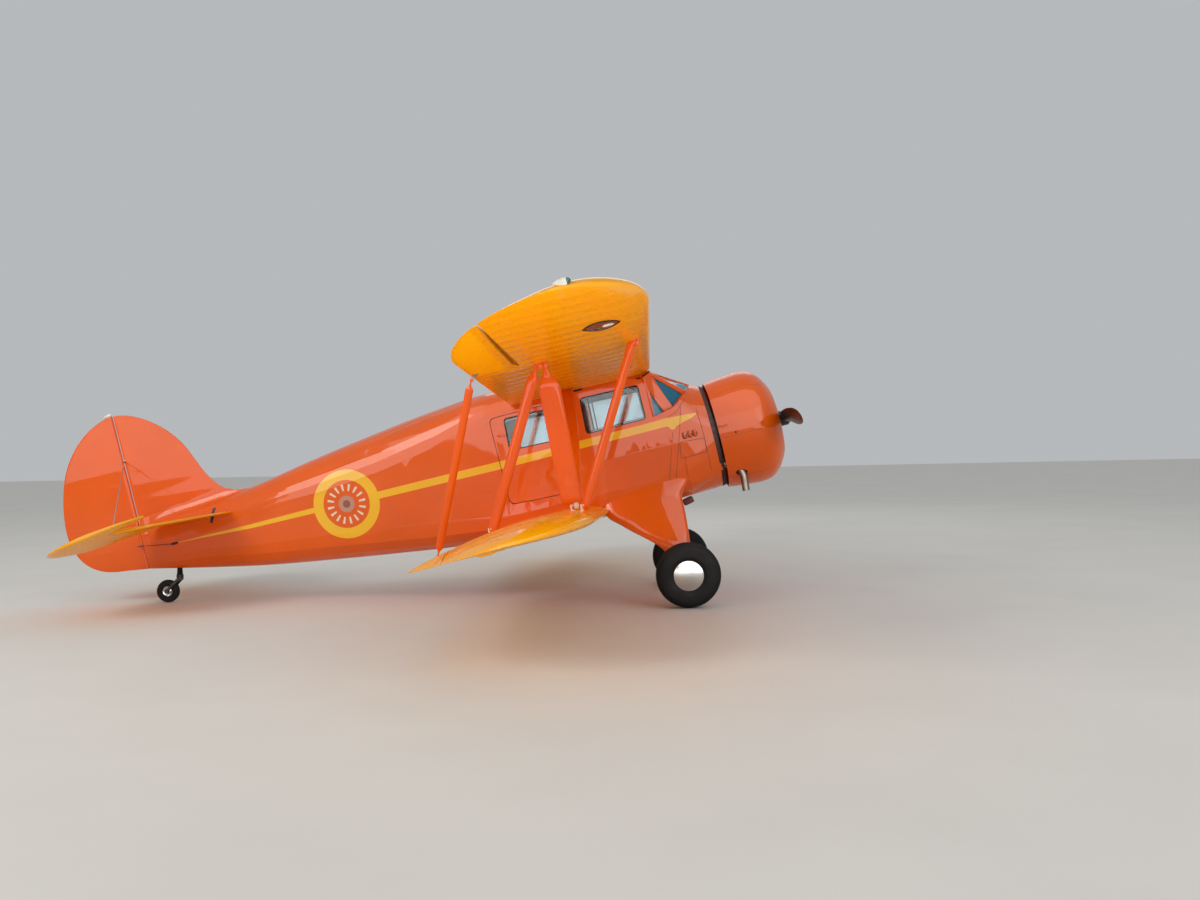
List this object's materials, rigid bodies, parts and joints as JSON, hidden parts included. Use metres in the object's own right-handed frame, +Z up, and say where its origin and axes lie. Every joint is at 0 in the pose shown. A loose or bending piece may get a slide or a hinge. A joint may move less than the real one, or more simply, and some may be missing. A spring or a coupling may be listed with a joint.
{
  "type": "cabin biplane",
  "caption": "Single-engine cabin biplane with a cowled radial engine, staggered wings, tail wheel gear, doors, ailerons, elevators and rudder that move.",
  "frame": {"origin": "middle of the overall box, on the ground under the three wheels", "axes": "+X towards the propeller, +Y to the aircraft's left, +Z up; the aircraft leans back on its tail wheel"},
  "size_m": [7.762, 10.1282, 2.6078],
  "materials": {
    "orange_paint": "gloss",
    "orange_fabric": "gloss dope over stringers",
    "yellow_fabric": "gloss dope over ribs",
    "bare_metal": "polished",
    "stack_steel": "heat stained",
    "engine_metal": "grey enamel",
    "blade_paint": "satin black",
    "black_panel": "crackle black",
    "tyre_rubber": "matt",
    "seat_leather": "satin",
    "clear_glass": "clear"
  },
  "bodies": {
    "airframe": {"rear_fuselage": "orange_fabric", "cabin_side_right": "orange_fabric", "cabin_side_left": "orange_fabric", "cabin_floor": "orange_fabric", "fin": "orange_fabric", "windscreen_frame": "orange_paint", "cabin_roof": "orange_paint", "nose_section": "orange_paint", "cowl": "orange_paint", "strut_front_right": "orange_paint", "strut_front_left": "orange_paint", "strut_diagonal_right": "orange_paint", "strut_diagonal_left": "orange_paint", "strut_rear_right": "orange_paint", "strut_rear_left": "orange_paint", "wing_brace_right": "orange_paint", "wing_brace_left": "orange_paint", "gear_leg_right": "orange_paint", "gear_leg_left": "orange_paint", "upper_wing_right": "yellow_fabric", "upper_wing_left": "yellow_fabric", "lower_wing_right": "yellow_fabric", "lower_wing_left": "yellow_fabric", "tailplane_right": "yellow_fabric", "tailplane_left": "yellow_fabric", "windscreen_glass": "clear_glass", "window_front_right": "clear_glass", "window_front_left": "clear_glass", "engine": "engine_metal", "exhaust_stack": "stack_steel", "instrument_panel": "black_panel", "control_column": "black_panel", "seat_front_right": "seat_leather", "seat_front_left": "seat_leather", "seat_rear": "seat_leather", "tail_wheel_bracket": "bare_metal"},
    "propeller": {"propeller": "blade_paint"},
    "main_wheel_right": {"main_tyre_right": "tyre_rubber", "main_hub_right": "bare_metal"},
    "main_wheel_left": {"main_tyre_left": "tyre_rubber", "main_hub_left": "bare_metal"},
    "tail_fork": {"tail_wheel_fork": "bare_metal"},
    "tail_wheel": {"tail_tyre_wheel": "tyre_rubber", "tail_hub_wheel": "bare_metal"},
    "rudder": {"rudder": "orange_fabric"},
    "elevators": {"elevator_right": "yellow_fabric", "elevator_left": "yellow_fabric"},
    "aileron_upper_right": {"aileron_upper_right": "yellow_fabric"},
    "aileron_upper_left": {"aileron_upper_left": "yellow_fabric"},
    "aileron_lower_right": {"aileron_lower_right": "yellow_fabric"},
    "aileron_lower_left": {"aileron_lower_left": "yellow_fabric"},
    "aileron_link_right": {"aileron_link_right": "orange_paint"},
    "aileron_link_left": {"aileron_link_left": "orange_paint"},
    "door_right": {"door_right": "orange_paint", "window_door_right": "clear_glass"},
    "door_left": {"door_left": "orange_paint", "window_door_left": "clear_glass"}
  },
  "joints": [
    {"name": "propeller_spin", "type": "hinge", "parent": "airframe", "child": "propeller", "pos_m": [3.78757, 0, 1.82422], "axis": [0.9738, 0, 0.2275], "continuous": true},
    {"name": "main_wheel_right_spin", "type": "hinge", "parent": "airframe", "child": "main_wheel_right", "pos_m": [2.72936, -0.924, 0.31394], "axis": [0, 1, 0], "continuous": true},
    {"name": "main_wheel_left_spin", "type": "hinge", "parent": "airframe", "child": "main_wheel_left", "pos_m": [2.72936, 0.924, 0.31394], "axis": [0, 1, 0], "continuous": true},
    {"name": "tail_swivel", "type": "hinge", "parent": "airframe", "child": "tail_fork", "pos_m": [-2.6326, 0, 0.26299], "axis": [0, 0, 1], "continuous": true},
    {"name": "tail_wheel_spin", "type": "hinge", "parent": "tail_fork", "child": "tail_wheel", "pos_m": [-2.76144, 0, 0.11994], "axis": [0, 1, 0], "continuous": true},
    {"name": "rudder_hinge", "type": "hinge", "parent": "airframe", "child": "rudder", "pos_m": [-3.12554, 0, 1.01046], "axis": [-0.2275, 0, 0.9738], "range_deg": [-28, 28]},
    {"name": "elevator_hinge", "type": "hinge", "parent": "airframe", "child": "elevators", "pos_m": [-2.80328, 0, 0.83106], "axis": [0, 1, 0], "range_deg": [-11, 38]},
    {"name": "aileron_upper_right_hinge", "type": "hinge", "parent": "airframe", "child": "aileron_upper_right", "pos_m": [1.2842, -2.85, 2.23906], "axis": [0.0137, 0.9982, -0.0586], "range_deg": [-20, 20]},
    {"name": "aileron_upper_left_hinge", "type": "hinge", "parent": "airframe", "child": "aileron_upper_left", "pos_m": [1.2842, 2.85, 2.23906], "axis": [-0.0137, 0.9982, 0.0586], "range_deg": [-20, 20]},
    {"name": "aileron_lower_right_hinge", "type": "hinge", "parent": "airframe", "child": "aileron_lower_right", "pos_m": [0.90711, -2.45, 0.75433], "axis": [0.0093, 0.9992, -0.0399], "range_deg": [-20, 20]},
    {"name": "aileron_lower_left_hinge", "type": "hinge", "parent": "airframe", "child": "aileron_lower_left", "pos_m": [0.90711, 2.45, 0.75433], "axis": [-0.0093, 0.9992, 0.0399], "range_deg": [-20, 20]},
    {"name": "aileron_link_right_pivot", "type": "hinge", "parent": "aileron_upper_right", "child": "aileron_link_right", "pos_m": [0.98517, -2.9748, 2.10127], "axis": [0.0137, 0.9982, -0.0586], "range_deg": [-22, 22]},
    {"name": "aileron_link_left_pivot", "type": "hinge", "parent": "aileron_upper_left", "child": "aileron_link_left", "pos_m": [0.98517, 2.9748, 2.10127], "axis": [-0.0137, 0.9982, 0.0586], "range_deg": [-22, 22]},
    {"name": "door_right_hinge", "type": "hinge", "parent": "airframe", "child": "door_right", "pos_m": [1.56695, -0.58, 1.56226], "axis": [-0.2275, 0, 0.9738], "range_deg": [0, 75]},
    {"name": "door_left_hinge", "type": "hinge", "parent": "airframe", "child": "door_left", "pos_m": [1.56695, 0.58, 1.56226], "axis": [0.2275, 0, -0.9738], "range_deg": [0, 75]}
  ],
  "couplings": [
    {"joint": "aileron_lower_right_hinge", "follows": "aileron_upper_right_hinge", "ratio": 1},
    {"joint": "aileron_upper_left_hinge", "follows": "aileron_upper_right_hinge", "ratio": -1},
    {"joint": "aileron_lower_left_hinge", "follows": "aileron_upper_right_hinge", "ratio": -1},
    {"joint": "aileron_link_right_pivot", "follows": "aileron_upper_right_hinge", "ratio": -1.06},
    {"joint": "aileron_link_left_pivot", "follows": "aileron_upper_right_hinge", "ratio": 1.06}
  ]
}
